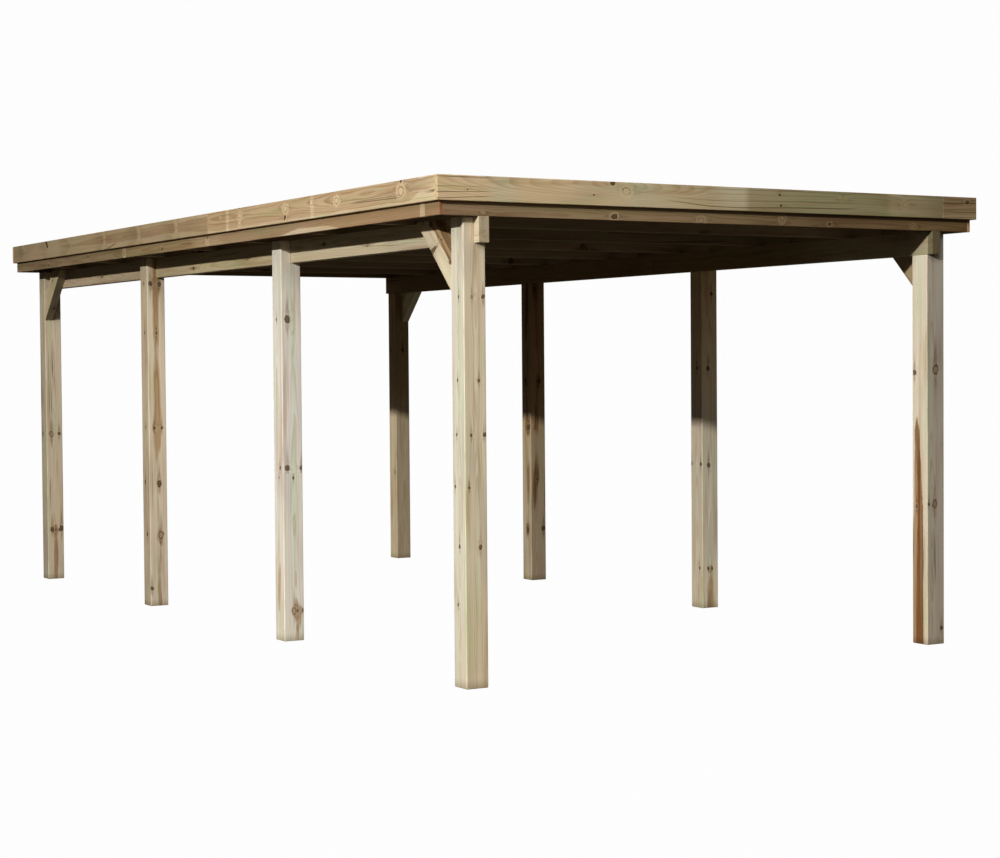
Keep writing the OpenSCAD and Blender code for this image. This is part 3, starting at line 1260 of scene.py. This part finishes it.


# The posts' tints and front values hold both each face's own colour and painted light and shade. The first
# right post's front is darkened as painted shade. The outer faces of the third and fourth left posts are
# darkened, and their fronts lightened.
POST_STOCK = {
    "left_post_1": Stock(3.1, even(0.004, -0.006), ramp((0.0, 0.66, 0.61, 0.49), (0.35, 0.67, 0.62, 0.5),
        (0.6, 0.7, 0.68, 0.57), (2.1, 0.72, 0.69, 0.58)), 0.004, ramp((0.0, 0.0535), (0.4, 0.0525),
        (0.75, 0.044)), levels((0.16, (110, 5)), (0.38, (160, 5), (125, 5)), (0.65, (-72, 7), (176, 6)),
        (0.92, (146, 5), (-128, 4)), (1.16, (-118, 5), (-50, 6), (160, 5)), (1.41, (-74, 5), (170, 5)),
        (1.79, (-175, 5), (-110, -5), (-52, 6)), (2.02, (20, 7))), front=(1.06, 0.97, 0.84)),
    "left_post_2": Stock(11.7, even(0.009, 0.004), ramp((0.0, 0.7, 0.68, 0.58), (0.3, 0.72, 0.69, 0.6),
        (1.2, 0.74, 0.71, 0.65), (2.1, 0.74, 0.71, 0.63)), 0.0046, ramp((0.0, 0.056), (0.1, 0.063),
        (0.17, 0.0675), (0.28, 0.0678), (0.38, 0.0665), (0.5, 0.064), (0.6, 0.054)),
        levels((0.16, (-53, 6), (-98, -10), (-80, 5)), (0.55, (35, 7)), (0.88, (-96, 5), (-172, 5)),
        (0.93, (-160, 7), (-124, 9), (-54, 8)), (1.28, (60, 8)), (1.73, (-118, 12), (178, 6))), front=(1.2,
        1.18, 1.17), resin=0.55),
    "left_post_3": Stock(23.9, even(0.0, -0.018), ramp((0.0, 0.37, 0.31, 0.23), (0.9, 0.38, 0.315, 0.225),
        (1.1, 0.42, 0.355, 0.26), (2.1, 0.43, 0.37, 0.27)), 0.0038, ramp((0.0, 0.039), (0.35, 0.041),
        (0.6, 0.034), (0.86, 0.04), (1.0, 0.0505), (1.6, 0.056), (2.1, 0.063)), levels((0.11, (-142, 7)),
        (0.445, (-70, -13), (172, 9)), (0.765, (-78, 11), (152, 8)), (1.11, (-54, 6), (-118, 6), (168, 6)),
        (1.7, (-90, 6), (170, 7)), (2.0, (-60, 9), (-132, 8), (165, 6))), front=(1.95, 2.02, 2.1),
        resin=0.3),
    "left_post_4": Stock(31.3, even(-0.004, -0.008), ramp((0.0, 0.29, 0.26, 0.2), (0.4, 0.3, 0.255, 0.185),
        (1.1, 0.3, 0.265, 0.2), (1.9, 0.32, 0.28, 0.21)), 0.0044, ramp((0.0, 0.052), (0.3, 0.0515),
        (0.5, 0.045), (1.2, 0.043)), levels((0.35, (-113, 10), (-48, 11), (-84, 5)), (0.7, (20, 7)),
        (1.02, (-110, -12), (-52, 7), (150, 10)), (1.5, (80, 8))), front=(2.05, 2.0, 1.95), resin=0.25),
    "right_post_1": Stock(43.7, even(-0.026, 0.02), ramp((0.0, 0.62, 0.54, 0.41), (0.5, 0.63, 0.56, 0.44),
        (0.85, 0.66, 0.6, 0.48), (1.35, 0.66, 0.6, 0.48), (2.1, 0.68, 0.63, 0.52)), 0.0036,
        ramp((0.0, 0.057), (0.6, 0.0565), (0.9, 0.049), (1.12, 0.04), (1.25, 0.028)),
        levels((0.07, (-50, 6)), (0.4, (60, 8)), (0.73, (-76, -13), (172, 7), (-105, 5)), (1.05, (20, 8)),
        (1.43, (-72, -14), (148, 8), (-38, 6)), (1.85, (70, 8))), front=(0.57, 0.56, 0.57), resin=1.0),
    # Above about 1.2 m the right posts stand in the roof's shadow, and their tints there are painted. The
    # second post is lighter and redder there as painted light. The third and fourth are darker there as
    # painted shade.
    "right_post_2": Stock(53.3, even(0.006, -0.004), ramp((0.0, 0.5, 0.45, 0.34), (0.9, 0.5, 0.45, 0.35),
        (1.2, 0.52, 0.45, 0.35), (1.35, 0.6, 0.49, 0.36), (2.1, 0.74, 0.55, 0.34)), 0.0047,
        ramp((0.0, 0.0575), (0.2, 0.056), (0.36, 0.048)), levels((0.24, (-112, 6), (-84, 6), (-160, 6)),
        (0.55, (90, 8)), (0.865, (136, 9), (-106, 9), (-148, 7)), (1.45, (-176, 7), (-108, 9)),
        (1.9, (-80, 7))), front=(1.38, 1.4, 1.45), resin=0.3),
    "right_post_3": Stock(61.9, even(-0.016, -0.012), ramp((0.0, 0.42, 0.36, 0.26), (0.9, 0.42, 0.35, 0.24),
        (1.25, 0.4, 0.27, 0.15), (2.1, 0.36, 0.22, 0.11)), 0.0042, ramp((0.0, 0.036), (0.45, 0.0455),
        (0.75, 0.0525), (0.95, 0.05), (1.1, 0.0565), (1.3, 0.053), (2.1, 0.06)),
        levels((0.35, (178, 11), (-40, 9)), (0.7, (-80, 7)), (1.055, (-152, 11), (-175, 11), (40, 8)),
        (1.37, (-60, 10), (150, 7)), (2.0, (-95, 10))), front=(0.95, 0.9, 0.87), resin=0.8),
    "right_post_4": Stock(71.1, even(0.004, 0.006), ramp((0.0, 0.5, 0.41, 0.29), (1.15, 0.5, 0.41, 0.29),
        (1.3, 0.4, 0.3, 0.17), (2.1, 0.37, 0.26, 0.13)), 0.0045, even(0.0), levels((0.3, (60, 8)),
        (0.66, (-150, 7), (30, 8)), (1.1, (120, 7)), (1.6, (-90, 9), (160, 7)))),
}


class Woodwork:
    """Lengths of timber that are each a piece of their own."""

    def timbers(self) -> Iterator[tuple[str, Timber]]:
        """Gives each frame node that is stood for, and its timber."""
        raise NotImplementedError

    def build(self, finish: PineFinish, material: bpy.types.Material) -> list[bpy.types.Object]:
        """Builds the pieces.

        Args:
            finish: Their finish.
            material: The finish's material.

        Returns:
            The pieces.
        """
        return [finish_piece(node + "_timber", [timber.make()], material, finish.slot, [node])
                for node, timber in self.timbers()]


@dataclass
class PostRow(Woodwork):
    """One row of four posts.

    Args:
        row: Which row.
        ease: The radius of a post's eased edges.
    """

    row: Row
    ease: float = 0.0045

    def timbers(self) -> Iterator[tuple[str, Timber]]:
        """Gives the row's nodes and posts."""
        for number in range(1, 5):
            node = f"{self.row.word}_post_{number}"
            low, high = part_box(node)
            beam_low, beam_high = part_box(f"{self.row.word}_beam_front")
            split = beam_low.x if self.row is Row.LEFT else beam_high.x
            yield node, Post(low, high, Run.Z, POST_STOCK[node], self.ease, 3, split=split, seat=beam_low.z)


@dataclass
class BeamRow(Woodwork):
    """The two lapped lengths of beam on one row.

    Args:
        row: Which row.
        ease: The radius of their eased edges.
    """

    row: Row
    ease: float = 0.0035

    def timbers(self) -> Iterator[tuple[str, Timber]]:
        """Gives the row's nodes and beams."""
        front, back = (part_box(f"{self.row.word}_beam_{end.word}") for end in End)
        inward = -self.row.value
        ends = ((End.FRONT, front, back[0].y, inward), (End.BACK, back, front[1].y, -inward))
        for end, (low, high), shoulder, side in ends:
            node = f"{self.row.word}_beam_{end.word}"
            yield node, LappedBeam(low, high, Run.Y, BEAM_STOCK[node], self.ease, shoulder=shoulder,
                                   leaf_side=side)


@dataclass
class KneeBraces(Woodwork):
    """The four braces at the corner posts.

    Args:
        lot: What they are sawn from.
        fixed: Braces that are given in full, by node.
        width: A brace's width, seen from the side.
        ease: The radius of their eased edges.
    """

    lot: Lot = BRACE_LOT
    fixed: dict[str, Stock] = field(default_factory=lambda: BRACE_STOCK)
    width: float = 0.120
    ease: float = 0.003

    def timbers(self) -> Iterator[tuple[str, Timber]]:
        """Gives the nodes and braces."""
        for row in Row:
            for end in End:
                node = f"{row.word}_brace_{end.word}"
                low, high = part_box(node)
                stock = self.fixed.get(node) or self.lot.draw(200 + 10 * row.value + end.value, 0.5)
                yield node, Brace(low, high, Run.Z, stock, self.ease, width=self.width, lean=-end.value)


@dataclass
class StraightBoards(Woodwork):
    """Boards that are plain lengths from end to end: joists, rims and fascias.

    Args:
        nodes: The frame's nodes, each with its number in the lot.
        lot: What they are sawn from.
        ease: The radius of their eased edges.
        fixed: Boards that are given in full, by node.
    """

    nodes: dict[str, int]
    lot: Lot
    ease: float = 0.003
    fixed: dict[str, Stock] = field(default_factory=dict)

    def timbers(self) -> Iterator[tuple[str, Timber]]:
        """Gives the nodes and boards."""
        for node, number in self.nodes.items():
            low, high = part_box(node)
            size = high - low
            run = Run.X if size.x > size.y else Run.Y
            stock = self.fixed.get(node) or self.lot.draw(number, max(size.x, size.y))
            yield node, Timber(low, high, run, stock, self.ease)


@dataclass
class RoofDeck:
    """The roof's boards, laid along the carport with a V-joint between them.

    Args:
        lot: What they are sawn from.
        cover: About how wide a laid board is.
        joint: The gap between two boards.
        ease: The size of the V's chamfer.
    """

    lot: Lot = DECK_LOT
    cover: float = 0.120
    joint: float = 0.0006
    ease: float = 0.0028

    def build(self, finish: PineFinish, material: bpy.types.Material) -> bpy.types.Object:
        """Builds the deck as one piece.

        Args:
            finish: Its finish.
            material: The finish's material.

        Returns:
            The deck.
        """
        low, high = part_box("roof_deck")
        count = round((high.x - low.x) / self.cover)
        width = (high.x - low.x) / count
        butts = [(lo.y + hi.y) / 2 for lo, hi in (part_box(f"joist_{i}") for i in (3, 5))]
        parts = []
        for i in range(count):
            x0, x1 = low.x + width * i + self.joint / 2, low.x + width * (i + 1) - self.joint / 2
            middle = butts[i % 2]
            for j, (y0, y1) in enumerate(((low.y, middle - self.joint / 2),
                                          (middle + self.joint / 2, high.y))):
                stock = self.lot.draw(500 + 2 * i + j, y1 - y0)
                board = Timber(Vector((x0, y0, low.z)), Vector((x1, y1, high.z)), Run.Y, stock, self.ease, 1)
                parts.append(board.make())
        return finish_piece("roof_deck_boards", parts, material, finish.slot, ["roof_deck"])


@dataclass
class RoofFelt:
    """The felt: a tray turned up inside the fascia, with lapped sheets on its floor.

    Args:
        thickness: The thickness of one sheet.
        sheet: The width of a roll.
        lap: How far a sheet lies over the next one.
        cove: The radius where the felt turns up.
        bead: The width of the bitumen that has run out along a lap.
        runs: The lengths that a bead changes over.
        crisp: The radius of a sheet's own edges.
        shades: How light each sheet is beside the next.
    """

    thickness: float = 0.003
    sheet: float = 1.0
    lap: float = 0.08
    cove: float = 0.014
    bead: float = 0.012
    runs: int = 60
    crisp: float = 0.0009
    shades: tuple[float, ...] = (1.0, 1.16, 0.9, 1.08)

    def shade(self, bm: Mesh, value: float) -> Mesh:
        """Writes on a mesh how light its sheet is; 0 is bare bitumen."""
        layer = bm.faces.layers.float.new("sheet")
        for face in bm.faces:
            face[layer] = value
        return bm

    def tray(self) -> Mesh:
        """Makes the turned-up under-sheet.

        Returns:
            A new bmesh.
        """
        low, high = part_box("roof_felt")
        bm = block((low + high) / 2, high - low)
        bm.normal_update()
        top = max(bm.faces, key=lambda f: f.calc_center_median().z)
        bmesh.ops.inset_region(bm, faces=[top], thickness=self.thickness, use_even_offset=True)
        grow(bm, top, Vector((0.0, 0.0, -(high.z - low.z - self.thickness))))
        bm.normal_update()
        floor_z = low.z + self.thickness
        turn = [e for e in bm.edges if all(abs(v.co.z - floor_z) < 1e-5 for v in e.verts)]
        round_edges(bm, turn, self.cove, 4)
        return self.shade(bm, 0.94)

    def run_out(self, x: float, low: Vector, high: Vector) -> Mesh:
        """Makes the uneven bead of bitumen along one lap's edge.

        Args:
            x: Where the lap's edge is.
            low: The lowest corner of the bead's space.
            high: The highest corner.

        Returns:
            A new bmesh.
        """
        size = Vector((self.bead, high.y - low.y, high.z - low.z))
        bm = block(Vector((x, (low.y + high.y) / 2, (low.z + high.z) / 2)), size)
        luck = random.Random(round(x * 1000))
        for i in range(1, self.runs):
            slice_mesh(bm, (0, low.y + size.y * i / self.runs, 0), (0, 1, 0))
        wander = {round(v.co.y, 4): luck.uniform(-0.6, 0.35) * self.bead
                  for v in sorted(bm.verts, key=lambda v: v.co.y)}
        for vert in bm.verts:
            if vert.co.x < x:
                vert.co.x += wander[round(vert.co.y, 4)]
        return self.shade(bm, 0.0)

    def sheets(self) -> list[Mesh]:
        """Makes the top sheets, each with its edge lying over the one before.

        Returns:
            New bmeshes.
        """
        low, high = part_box("roof_felt")
        inset = self.thickness + self.cove * 0.6
        x, end_x = low.x + inset, high.x - inset
        floor_z = low.z + self.thickness
        made, beads = [], []
        while x < end_x - 0.2:
            stop = min(x + self.sheet, end_x)
            size = Vector((stop - x, high.y - low.y - 2 * inset, self.thickness))
            bm = block(Vector(((x + stop) / 2, 0.0, floor_z + self.thickness / 2)), size)
            if made:
                for at in (x + self.lap, x + self.lap + 0.02):
                    slice_mesh(bm, (at, 0, 0), (1, 0, 0))
                over = [v for v in bm.verts if v.co.x < x + self.lap + 0.001]
                bmesh.ops.translate(bm, vec=(0, 0, self.thickness), verts=over)
                ends = low.y + inset, high.y - inset
                beads.append(self.run_out(x, Vector((x, ends[0], floor_z + self.thickness * 0.9)),
                                          Vector((x, ends[1], floor_z + self.thickness * 1.4))))
            bm.normal_update()
            round_edges(bm, outer_edges(bm, 0.9), self.crisp, 2)
            made.append(self.shade(bm, self.shades[len(made) % len(self.shades)]))
            x = stop - self.lap if stop < end_x else end_x
        return made + beads

    def build(self, finish: FeltFinish, material: bpy.types.Material) -> bpy.types.Object:
        """Builds the felt as one piece.

        Args:
            finish: Its finish.
            material: The finish's material.

        Returns:
            The felt.
        """
        return finish_piece("roof_felt_sheets", [self.tray(), *self.sheets()], material, finish.slot,
                            ["roof_felt"])


@dataclass
class PostScrews:
    """The countersunk screws through each post's tongue into the beam.

    Args:
        radius: A head's radius.
        proud: How far a head stands out of the wood.
        height: The heads' height over the floor.
        setback: How far behind the post's front face a head is, for each post.
    """

    radius: float = 0.0055
    proud: float = 0.0004
    height: float = 2.094
    setback: tuple[float, ...] = (0.0935, 0.0725, 0.0645, 0.078)

    def head(self, place: Vector, outward: Vector) -> Mesh:
        """Makes one head with a round recess in its top.

        Args:
            place: Where its axis meets the post's face.
            outward: The way it faces.

        Returns:
            A new bmesh.
        """
        bm = bmesh.new()
        depth = 0.0022
        bmesh.ops.create_cone(bm, cap_ends=True, segments=20, radius1=self.radius, radius2=self.radius,
                              depth=depth)
        top = max(bm.faces, key=lambda f: f.calc_center_median().z)
        bmesh.ops.inset_region(bm, faces=[top], thickness=self.radius * 0.42, use_even_offset=True)
        bmesh.ops.translate(bm, vec=(0, 0, -0.0011), verts=top.verts[:])
        bmesh.ops.translate(bm, vec=(0, 0, self.proud - depth / 2), verts=bm.verts[:])
        turn = outward.to_track_quat("Z", "Y").to_matrix().to_4x4()
        bmesh.ops.transform(bm, matrix=Matrix.Translation(place) @ turn, verts=bm.verts[:])
        return bm

    def build(self, material: bpy.types.Material) -> bpy.types.Object:
        """Builds all the heads as one piece.

        Args:
            material: The steel.

        Returns:
            The screws.
        """
        heads = []
        for row in Row:
            for number, back in enumerate(self.setback, start=1):
                low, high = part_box(f"{row.word}_post_{number}")
                x = low.x if row is Row.LEFT else high.x
                heads.append(self.head(Vector((x, low.y + back, self.height)), Vector((row.value, 0, 0))))
        return finish_piece("post_screws", heads, material, "posts")


# ---------------------------------------------------------------------- studio


@dataclass
class Studio:
    """A pale floor, soft light and the camera.

    Args:
        eye: The camera's place.
        yaw: Its heading, in degrees from +Y towards +X.
        pitch: Its tilt, in degrees up from level.
        roll: Its lean, in degrees.
        lens: Its focal length, in millimetres on a 36 mm sensor.
        key_way: The way the main light travels.
        key_power: The main light's strength.
        key_spread: The main light's width, in degrees.
        fill_way: The way the front fill travels.
        fill_power: Its strength.
        low_way: The way the weak, lower fill travels.
        low_power: Its strength.
        back_way: The way the light from behind travels.
        back_power: Its strength.
        sky: The strength of the light from all round.
        ground: How much light the floor gives back to the object.
        paper: How bright the floor and the backdrop look.
    """

    eye: tuple[float, float, float] = (-6.1008, -11.3815, 1.4805)
    yaw: float = 30.2224
    pitch: float = -1.7483
    roll: float = -0.4465
    lens: float = 75.61
    key_way: tuple[float, float, float] = (1.0, 0.46, -0.340)
    key_power: float = 3.1
    key_spread: float = 1.4
    fill_way: tuple[float, float, float] = (0.8, 1.0, -0.95)
    fill_power: float = 1.15
    low_way: tuple[float, float, float] = (0.25, 1.0, -0.36)
    low_power: float = 0.16
    back_way: tuple[float, float, float] = (-0.8, -1.0, -0.6)
    back_power: float = 1.5
    sky: float = 0.12
    ground: float = 0.05
    paper: float = 0.985

    def camera(self) -> None:
        """Places the camera."""
        yaw, pitch, roll = (math.radians(v) for v in (self.yaw, self.pitch, self.roll))
        right = Vector((math.cos(yaw), -math.sin(yaw), 0.0))
        ahead = Vector((math.sin(yaw), math.cos(yaw), 0.0))
        look = ahead * math.cos(pitch) + UP * math.sin(pitch)
        top = UP * math.cos(pitch) - ahead * math.sin(pitch)
        side = right * math.cos(roll) + top * math.sin(roll)
        crown = top * math.cos(roll) - right * math.sin(roll)
        data = bpy.data.cameras.new("view")
        data.sensor_width, data.lens = 36.0, self.lens
        data.clip_start, data.clip_end = 0.1, 300.0
        camera = bpy.data.objects.new("view", data)
        turn = Matrix((side, crown, -look)).transposed().to_4x4()
        camera.matrix_world = Matrix.Translation(self.eye) @ turn
        bpy.context.scene.collection.objects.link(camera)
        bpy.context.scene.camera = camera

    def floor(self) -> bpy.types.Object:
        """Lays the floor: pale to look at, and darker in what it gives back to the object.

        Returns:
            The floor.
        """
        bm = bmesh.new()
        bmesh.ops.create_grid(bm, x_segments=1, y_segments=1, size=120.0)
        mesh = bpy.data.meshes.new("floor")
        bm.to_mesh(mesh)
        bm.free()
        material, b = new_material("floor_paper")
        seen = b.add("LightPath").outputs["Is Camera Ray"]
        pale, dim = b.add("Emission"), b.add("BsdfDiffuse")
        pale.inputs[0].default_value = (1.0, 1.0, 1.0, 1.0)
        pale.inputs[1].default_value = self.paper
        dim.inputs[0].default_value = (self.ground, self.ground * 0.88, self.ground * 0.7, 1.0)
        mixed = b.add("MixShader")
        for socket, value in zip(mixed.inputs, (seen, dim.outputs[0], pale.outputs[0])):
            b.feed(socket, value)
        b.feed(b.add("OutputMaterial").inputs[0], mixed.outputs[0])
        mesh.materials.append(material)
        floor = bpy.data.objects.new("floor", mesh)
        bpy.context.scene.collection.objects.link(floor)
        return floor

    def sun(self, name: str, way: Vector, power: float, spread: float) -> bpy.types.Object:
        """Hangs a far light.

        Args:
            name: Its name.
            way: The way it travels.
            power: Its strength.
            spread: Its width, in degrees.

        Returns:
            The light.
        """
        data = bpy.data.lights.new(name, "SUN")
        data.energy, data.angle = power, math.radians(spread)
        light = bpy.data.objects.new(name, data)
        light.rotation_mode = "QUATERNION"
        light.rotation_quaternion = way.to_track_quat("-Z", "Y")
        bpy.context.scene.collection.objects.link(light)
        return light

    def lights(self, floor: bpy.types.Object, pieces: Sequence[bpy.types.Object]) -> None:
        """Hangs the lights: the key falls on the object alone, the wash on the floor alone.

        Args:
            floor: The floor.
            pieces: The object's pieces.
        """
        lit = bpy.data.collections.new("lit_by_key")
        for piece in pieces:
            lit.objects.link(piece)
        ground = bpy.data.collections.new("lit_by_wash")
        ground.objects.link(floor)
        key = self.sun("key", Vector(self.key_way), self.key_power, self.key_spread)
        key.data.color = (1.0, 0.975, 0.93)
        fill = self.sun("fill", Vector(self.fill_way), self.fill_power, 24.0)
        fill.data.color = (0.98, 1.0, 1.04)
        low = self.sun("low_fill", Vector(self.low_way), self.low_power, 30.0)
        back = self.sun("back", Vector(self.back_way), self.back_power, 24.0)
        for light in (key, fill, low, back):
            light.light_linking.receiver_collection = lit
        wash = self.sun("floor_wash", -UP, math.pi, 30.0)
        wash.light_linking.receiver_collection = ground
        wash.light_linking.blocker_collection = ground

    def world(self) -> None:
        """Sets the light from all round, and the pale backdrop."""
        world = bpy.data.worlds.new("studio")
        world.use_nodes = True
        world.node_tree.nodes.clear()
        b = Bench(world.node_tree)
        seen = b.add("LightPath").outputs["Is Camera Ray"]
        glow, paper = b.add("Background"), b.add("Background")
        glow.inputs[0].default_value = (1.0, 0.86, 0.64, 1.0)
        glow.inputs[1].default_value = self.sky
        paper.inputs[0].default_value = (1.0, 1.0, 1.0, 1.0)
        paper.inputs[1].default_value = self.paper
        mixed = b.add("MixShader")
        for socket, value in zip(mixed.inputs, (seen, glow.outputs[0], paper.outputs[0])):
            b.feed(socket, value)
        b.feed(b.add("OutputWorld").inputs[0], mixed.outputs[0])
        bpy.context.scene.world = world
        bpy.context.scene.view_settings.view_transform = "Standard"

    def build(self, pieces: Sequence[bpy.types.Object]) -> None:
        """Sets the studio up.

        Args:
            pieces: The object's pieces.
        """
        self.camera()
        self.world()
        self.lights(self.floor(), pieces)
        LOG.info("studio: camera, floor and lights")


# ------------------------------------------------------------------------ main


def main() -> None:
    """Builds the carport piece by piece, then the studio round it."""
    logging.basicConfig(level=logging.INFO, format="%(name)s: %(message)s")
    posts = PineFinish("treated_posts", "posts", heart=(0.72, 0.57, 0.42), foot=0.7)
    beams = PineFinish("treated_beams", "beams")
    braces = PineFinish("treated_braces", "braces", heart=(0.76, 0.66, 0.52))
    joists = PineFinish("treated_joists", "joists")
    rims = PineFinish("treated_rims", "rim", heart=(0.62, 0.54, 0.45), sound=(0.86, 0.76, 0.60), bark=0.4,
                      halo=0.4,
                      trail=0.4, end=(1.1, 0.75, 0.65), contrast=0.75)
    fascias = PineFinish("treated_fascias", "fascia", heart=(0.80, 0.73, 0.66), sound=(1.12, 1.05, 0.90),
                         bark=0.35,
                         halo=0.6, trail=0.35, stained=0.45, end=(1.0, 1.0, 0.98), contrast=0.7)
    boards = PineFinish("treated_roof_boards", "roof_boards")
    felt = FeltFinish()
    made: list[bpy.types.Object] = []
    post_material, beam_material = posts.make(), beams.make()
    for row in Row:
        made += PostRow(row).build(posts, post_material)
    for row in Row:
        made += BeamRow(row).build(beams, beam_material)
    made += KneeBraces().build(braces, braces.make())
    made += StraightBoards({f"joist_{i}": 300 + i for i in range(1, 8)}, JOIST_LOT).build(joists,
                                                                                          joists.make())
    rim_nodes = [f"{row.word}_rim_{end.word}" for row in Row for end in End] + ["front_rim", "back_rim"]
    made += StraightBoards({n: 350 + i for i, n in enumerate(rim_nodes)}, RIM_LOT, 0.0015, RIM_STOCK).build(
        rims, rims.make())
    fascia_nodes = [f"{row.word}_fascia_{end.word}" for row in Row for end in End]
    fascia_nodes += [f"{end.word}_fascia_{part}" for end in End for part in ("long", "short")]
    made += StraightBoards({n: 400 + i for i, n in enumerate(fascia_nodes)}, FASCIA_LOT, 0.003,
                           FASCIA_STOCK).build(
        fascias, fascias.make())
    made.append(RoofDeck().build(boards, boards.make()))
    made.append(RoofFelt().build(felt, felt.make()))
    made.append(PostScrews().build(SteelFinish().make()))
    Studio().build(made)


if __name__ == "__main__":
    main()
